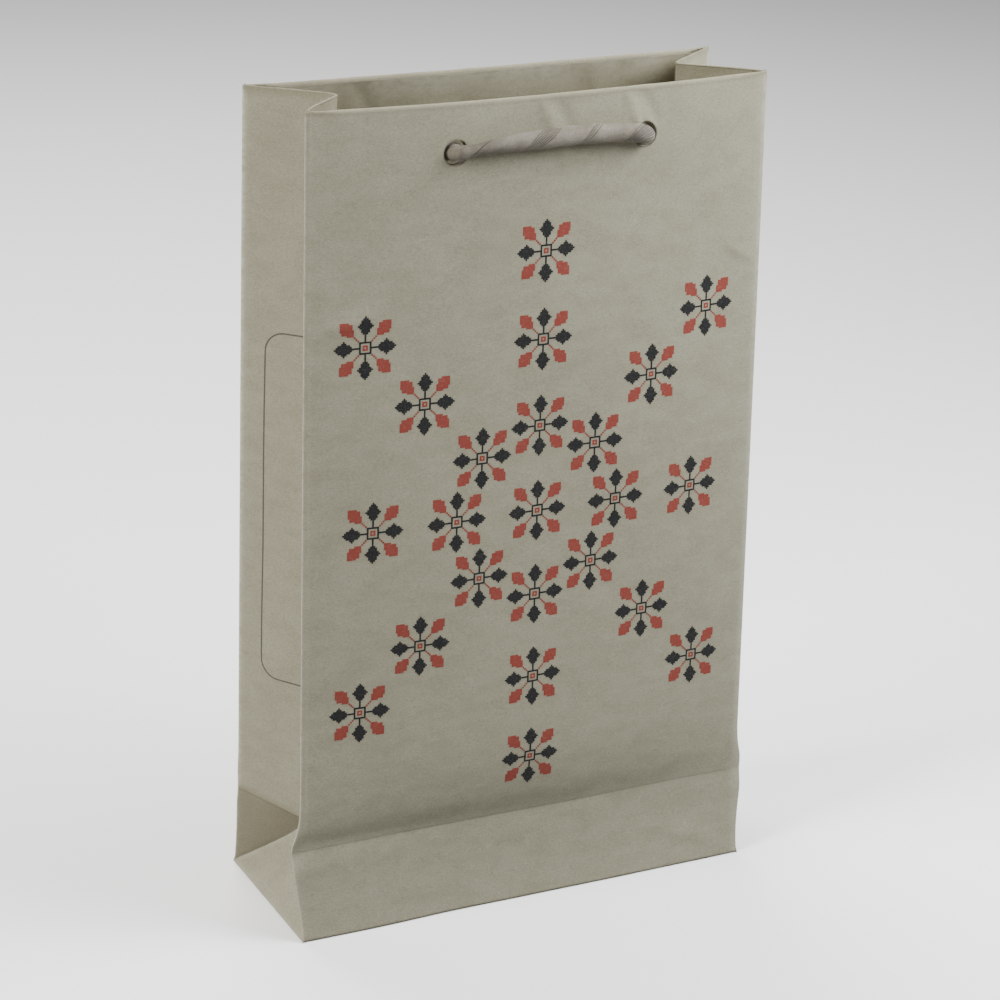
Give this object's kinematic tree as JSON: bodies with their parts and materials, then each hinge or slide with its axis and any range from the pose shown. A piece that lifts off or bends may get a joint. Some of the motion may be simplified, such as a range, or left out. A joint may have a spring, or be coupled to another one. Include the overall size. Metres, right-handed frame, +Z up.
{
  "type": "gift bag",
  "caption": "Open paper gift bag standing on a flat glued base, with folded-in sides, a stiffened rim and a cord handle through holes in the front and back walls.",
  "frame": {"origin": "middle of the base, on the surface that the bag stands on", "axes": "+Z up towards the mouth, +X to the right along the width as seen from the front, +Y from the front wall to the back wall"},
  "size_m": [0.112, 0.0424, 0.188],
  "materials": {
    "kraft_paper": "matte uncoated kraft with fine fibres",
    "kraft_inside": "matte uncoated kraft, inner face",
    "grey_card": "matte grey board",
    "paper_cord": "matte twisted paper cord"
  },
  "bodies": {
    "base": {"bottom_flap_back": "kraft_paper", "bottom_flap_front": "kraft_paper", "bottom_flap_left": "kraft_inside", "bottom_flap_right": "kraft_inside", "base_card": "grey_card", "front_base_strip": "kraft_paper", "back_base_strip": "kraft_paper", "left_gusset_foot": "kraft_paper", "left_gusset_corner_front": "kraft_paper", "left_gusset_corner_back": "kraft_paper", "left_gusset_front": "kraft_paper", "left_gusset_back": "kraft_paper", "left_gusset_hem_front": "kraft_inside", "left_gusset_hem_back": "kraft_inside", "right_gusset_foot": "kraft_paper", "right_gusset_corner_front": "kraft_paper", "right_gusset_corner_back": "kraft_paper", "right_gusset_front": "kraft_paper", "right_gusset_back": "kraft_paper", "right_gusset_hem_front": "kraft_inside", "right_gusset_hem_back": "kraft_inside"},
    "front_wall": {"front_panel": "kraft_paper", "front_rim_card": "grey_card", "front_hem": "kraft_inside", "front_cord_leg_left": "paper_cord", "front_cord_leg_right": "paper_cord"},
    "front_handle": {"front_handle_cord": "paper_cord"},
    "front_knot_left": {"front_knot_left": "paper_cord"},
    "front_knot_right": {"front_knot_right": "paper_cord"},
    "back_wall": {"back_panel": "kraft_paper", "back_rim_card": "grey_card", "back_hem": "kraft_inside", "back_cord_leg_left": "paper_cord", "back_cord_leg_right": "paper_cord", "side_seam_lap": "kraft_inside"},
    "back_handle": {"back_handle_cord": "paper_cord"},
    "back_knot_left": {"back_knot_left": "paper_cord"},
    "back_knot_right": {"back_knot_right": "paper_cord"}
  },
  "joints": [
    {"name": "front_wall_lean", "type": "hinge", "parent": "base", "child": "front_wall", "pos_m": [0, -0.0185, 0.02085], "axis": [-1, 0, 0], "range_deg": [-1.5, 1.6], "stiffness_Nm_per_rad": 0.08, "deforming": ["left_gusset_front", "left_gusset_hem_front", "right_gusset_front", "right_gusset_hem_front"]},
    {"name": "front_handle_pull", "type": "slide", "parent": "front_wall", "child": "front_handle", "axis": [0, -0.8192, 0.5736], "range_m": [0, 0.038], "deforming": ["front_cord_leg_left", "front_cord_leg_right"]},
    {"name": "front_knot_left_rise", "type": "slide", "parent": "front_wall", "child": "front_knot_left", "axis": [0, 0, 1], "range_m": [0, 0.038]},
    {"name": "front_knot_right_rise", "type": "slide", "parent": "front_wall", "child": "front_knot_right", "axis": [0, 0, 1], "range_m": [0, 0.038]},
    {"name": "back_wall_lean", "type": "hinge", "parent": "base", "child": "back_wall", "pos_m": [0, 0.0185, 0.02085], "axis": [1, 0, 0], "range_deg": [-1.5, 1.6], "stiffness_Nm_per_rad": 0.08, "deforming": ["left_gusset_back", "left_gusset_hem_back", "right_gusset_back", "right_gusset_hem_back"]},
    {"name": "back_handle_pull", "type": "slide", "parent": "back_wall", "child": "back_handle", "axis": [0, 0.8192, 0.5736], "range_m": [0, 0.038], "deforming": ["back_cord_leg_left", "back_cord_leg_right"]},
    {"name": "back_knot_left_rise", "type": "slide", "parent": "back_wall", "child": "back_knot_left", "axis": [0, 0, 1], "range_m": [0, 0.038]},
    {"name": "back_knot_right_rise", "type": "slide", "parent": "back_wall", "child": "back_knot_right", "axis": [0, 0, 1], "range_m": [0, 0.038]}
  ],
  "couplings": [
    {"joint": "front_knot_left_rise", "follows": "front_handle_pull", "ratio": 1},
    {"joint": "front_knot_right_rise", "follows": "front_handle_pull", "ratio": 1},
    {"joint": "back_knot_left_rise", "follows": "back_handle_pull", "ratio": 1},
    {"joint": "back_knot_right_rise", "follows": "back_handle_pull", "ratio": 1}
  ]
}
